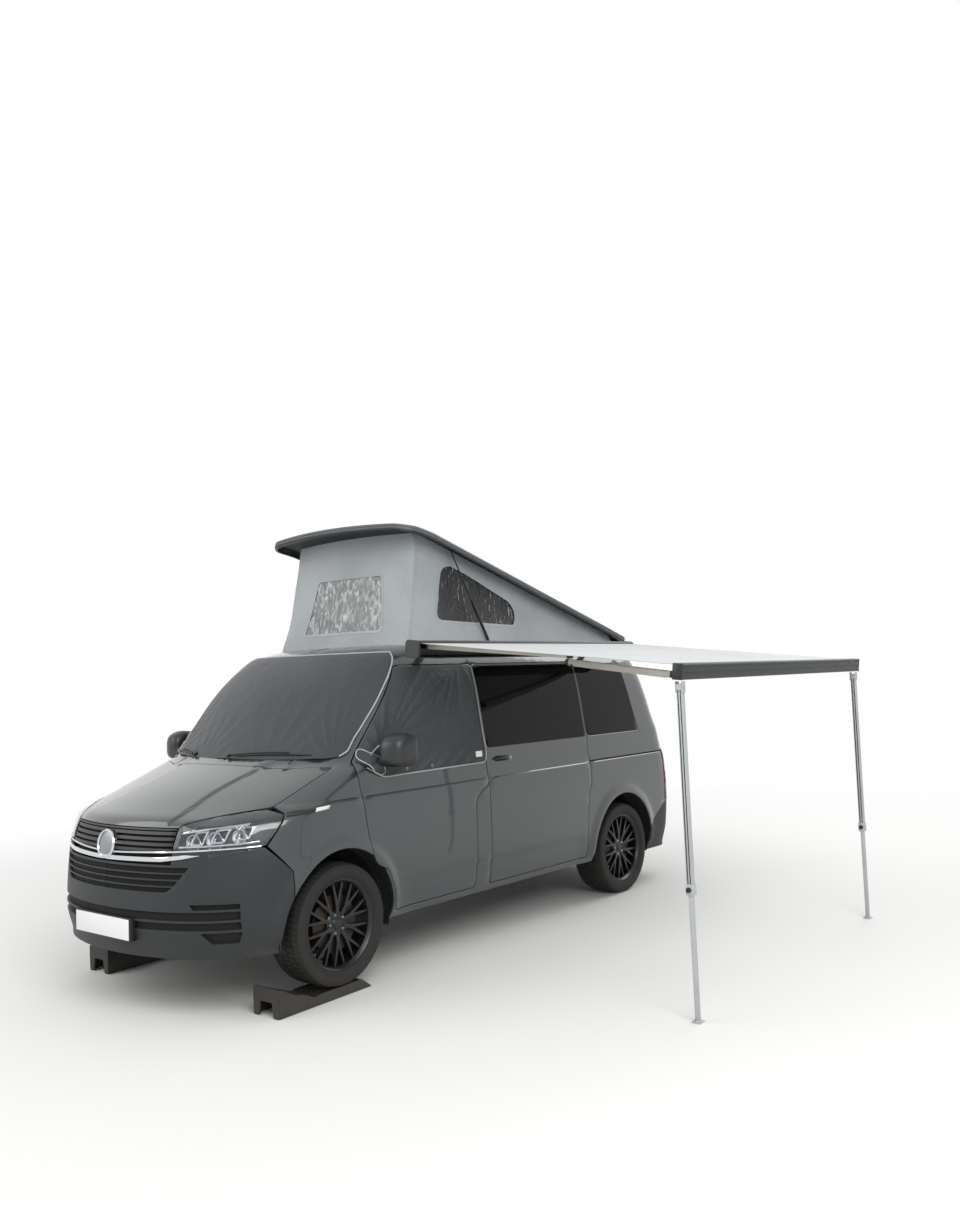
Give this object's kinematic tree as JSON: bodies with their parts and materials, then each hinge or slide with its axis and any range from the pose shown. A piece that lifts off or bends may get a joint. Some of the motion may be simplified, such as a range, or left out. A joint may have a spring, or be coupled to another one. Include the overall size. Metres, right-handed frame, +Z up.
{
  "type": "camper van",
  "caption": "Camper van with rear-hinged raised roof, canvas walls, side awning on folding arms with two legs, opening doors, and ramps under its front wheels.",
  "frame": {"origin": "on the ground, under the middle of the whole vehicle with its awning out", "axes": "+X to the front of the van, +Y to its left where the awning is, +Z up"},
  "size_m": [4.9128, 3.9792, 2.7859],
  "materials": {
    "body_paint": "gloss",
    "black_metal": "satin",
    "dark_trim": "matte",
    "black_trim": "satin",
    "chrome": "polished",
    "clear": "clear",
    "red_lens": "gloss",
    "tinted_glass": "tinted",
    "cast_metal": "cast",
    "steel": "brushed",
    "seat_fabric": "woven",
    "furniture": "laminate",
    "anthracite": "satin",
    "awning_cloth": "coated cloth",
    "canvas": "canvas",
    "cover_cloth": "coated cloth",
    "lid_shell": "satin",
    "tyre": "matte",
    "gloss_black": "gloss",
    "aluminium": "anodised"
  },
  "bodies": {
    "van": {"body_shell": "body_paint", "floor_pan": "black_metal", "front_bumper": "dark_trim", "grille": "black_trim", "headlamps": "chrome", "headlamp_lenses": "clear", "rear_bumper": "dark_trim", "tail_lamps": "red_lens", "windscreen": "tinted_glass", "side_windows": "tinted_glass", "wipers": "black_trim", "engine": "cast_metal", "front_axle": "black_metal", "rear_axle": "black_metal", "exhaust": "steel", "dashboard": "black_trim", "front_seats": "seat_fabric", "camper_furniture": "furniture", "sliding_door": "body_paint", "awning_case": "anthracite", "awning_fabric": "awning_cloth", "roof_canvas": "canvas", "windscreen_cover": "cover_cloth", "levelling_ramps": "black_trim", "strut_feet": "steel"},
    "front_door_left": {"front_door_left": "body_paint", "door_glass_left": "tinted_glass", "mirror_left": "black_trim", "cover_side_left": "cover_cloth"},
    "front_door_right": {"front_door_right": "body_paint", "door_glass_right": "tinted_glass", "mirror_right": "black_trim", "cover_side_right": "cover_cloth"},
    "bonnet": {"bonnet": "body_paint"},
    "tailgate": {"tailgate": "body_paint", "tailgate_glass": "tinted_glass"},
    "pop_roof": {"pop_roof": "lid_shell"},
    "roof_strut_cylinders": {"roof_strut_cylinders": "black_metal"},
    "roof_strut_rods": {"roof_strut_rods": "steel"},
    "knuckle_front_left": {"knuckle_front_left": "cast_metal"},
    "knuckle_front_right": {"knuckle_front_right": "cast_metal"},
    "wheel_front_left": {"tyre_front_left": "tyre", "wheel_front_left": "gloss_black"},
    "wheel_front_right": {"tyre_front_right": "tyre", "wheel_front_right": "gloss_black"},
    "wheel_rear_left": {"tyre_rear_left": "tyre", "wheel_rear_left": "gloss_black"},
    "wheel_rear_right": {"tyre_rear_right": "tyre", "wheel_rear_right": "gloss_black"},
    "awning_arm_inner_front": {"awning_arm_inner_front": "aluminium"},
    "awning_arm_outer_front": {"awning_arm_outer_front": "aluminium"},
    "awning_arm_inner_rear": {"awning_arm_inner_rear": "aluminium"},
    "awning_arm_outer_rear": {"awning_arm_outer_rear": "aluminium"},
    "awning_rail": {"awning_rail": "anthracite"},
    "awning_leg_front": {"awning_leg_front": "aluminium"},
    "awning_foot_front": {"awning_foot_front": "aluminium"},
    "awning_leg_rear": {"awning_leg_rear": "aluminium"},
    "awning_foot_rear": {"awning_foot_rear": "aluminium"}
  },
  "joints": [
    {"name": "steer_left", "type": "hinge", "parent": "van", "child": "knuckle_front_left", "pos_m": [1.53484, -0.10658, 0.403], "axis": [0, 0, 1], "range_deg": [-38, 38]},
    {"name": "spin_front_left", "type": "hinge", "parent": "knuckle_front_left", "child": "wheel_front_left", "pos_m": [1.53484, -0.02758, 0.403], "axis": [0, 1, 0], "continuous": true},
    {"name": "spin_rear_left", "type": "hinge", "parent": "van", "child": "wheel_rear_left", "pos_m": [-1.46456, -0.02758, 0.343], "axis": [0, 1, 0], "continuous": true},
    {"name": "front_door_left", "type": "hinge", "parent": "van", "child": "front_door_left", "pos_m": [1.37073, 0.11242, 0.85681], "axis": [0.02, 0, -0.9998], "range_deg": [0, 65]},
    {"name": "steer_right", "type": "hinge", "parent": "van", "child": "knuckle_front_right", "pos_m": [1.53484, -1.57658, 0.403], "axis": [0, 0, 1], "range_deg": [-38, 38]},
    {"name": "spin_front_right", "type": "hinge", "parent": "knuckle_front_right", "child": "wheel_front_right", "pos_m": [1.53484, -1.65558, 0.403], "axis": [0, 1, 0], "continuous": true},
    {"name": "spin_rear_right", "type": "hinge", "parent": "van", "child": "wheel_rear_right", "pos_m": [-1.46456, -1.65558, 0.343], "axis": [0, 1, 0], "continuous": true},
    {"name": "front_door_right", "type": "hinge", "parent": "van", "child": "front_door_right", "pos_m": [1.37073, -1.79558, 0.85681], "axis": [-0.02, 0, 0.9998], "range_deg": [0, 65]},
    {"name": "bonnet", "type": "hinge", "parent": "van", "child": "bonnet", "pos_m": [1.44627, -0.84158, 1.2804], "axis": [0, -1, 0], "range_deg": [0, 50]},
    {"name": "tailgate", "type": "hinge", "parent": "van", "child": "tailgate", "pos_m": [-2.25575, -0.84158, 1.84448], "axis": [0, 1, 0], "range_deg": [0, 80]},
    {"name": "pop_roof", "type": "hinge", "parent": "van", "child": "pop_roof", "pos_m": [-2.07671, -0.84158, 1.94408], "axis": [0, -1, 0], "range_deg": [-16, 0], "deforming": ["roof_canvas"]},
    {"name": "roof_strut", "type": "hinge", "parent": "van", "child": "roof_strut_cylinders", "pos_m": [-0.26311, -0.84158, 1.98256], "axis": [0, -1, 0], "range_deg": [-57.75, 0]},
    {"name": "roof_strut_rod", "type": "slide", "parent": "roof_strut_cylinders", "child": "roof_strut_rods", "axis": [0.5098, 0, 0.8603], "range_m": [-0.2641, 0]},
    {"name": "awning_shoulder_front", "type": "hinge", "parent": "van", "child": "awning_arm_inner_front", "pos_m": [0.79398, 0.15842, 1.93849], "axis": [0.0199, -0.1045, -0.9943], "range_deg": [-71, 0], "deforming": ["awning_fabric"]},
    {"name": "awning_elbow_front", "type": "hinge", "parent": "awning_arm_inner_front", "child": "awning_arm_outer_front", "pos_m": [0.49828, 1.01789, 1.84222], "axis": [0.0199, -0.1045, -0.9943], "range_deg": [0, 142]},
    {"name": "awning_hand_front", "type": "hinge", "parent": "awning_arm_outer_front", "child": "awning_rail", "pos_m": [0.79759, 1.87736, 1.75786], "axis": [0.0199, -0.1045, -0.9943], "range_deg": [-71, 0]},
    {"name": "awning_shoulder_rear", "type": "hinge", "parent": "van", "child": "awning_arm_inner_rear", "pos_m": [-1.45057, 0.15842, 1.89359], "axis": [0.0199, -0.1045, -0.9943], "range_deg": [0, 71]},
    {"name": "awning_elbow_rear", "type": "hinge", "parent": "awning_arm_inner_rear", "child": "awning_arm_outer_rear", "pos_m": [-1.15125, 1.01789, 1.80923], "axis": [0.0199, -0.1045, -0.9943], "range_deg": [-142, 0]},
    {"name": "awning_leg_front", "type": "hinge", "parent": "awning_rail", "child": "awning_leg_front", "pos_m": [0.88522, 1.95295, 1.67744], "axis": [0, -1, 0], "range_deg": [-88.85, 0]},
    {"name": "awning_foot_front", "type": "slide", "parent": "awning_leg_front", "child": "awning_foot_front", "axis": [0, 0, -1], "range_m": [-0.61524, 0]},
    {"name": "awning_leg_rear", "type": "hinge", "parent": "awning_rail", "child": "awning_leg_rear", "pos_m": [-1.5313, 1.95295, 1.6291], "axis": [0, 1, 0], "range_deg": [-91.15, 0]},
    {"name": "awning_foot_rear", "type": "slide", "parent": "awning_leg_rear", "child": "awning_foot_rear", "axis": [0, 0, -1], "range_m": [-0.5669, 0]}
  ],
  "couplings": [
    {"joint": "steer_right", "follows": "steer_left", "ratio": 1},
    {"joint": "roof_strut", "follows": "pop_roof", "ratio": 3.6097},
    {"joint": "roof_strut_rod", "follows": "pop_roof", "m_per_rad": 0.94573},
    {"joint": "awning_elbow_front", "follows": "awning_shoulder_front", "ratio": -2},
    {"joint": "awning_hand_front", "follows": "awning_shoulder_front", "ratio": 1},
    {"joint": "awning_shoulder_rear", "follows": "awning_shoulder_front", "ratio": -1},
    {"joint": "awning_elbow_rear", "follows": "awning_shoulder_front", "ratio": 2}
  ]
}
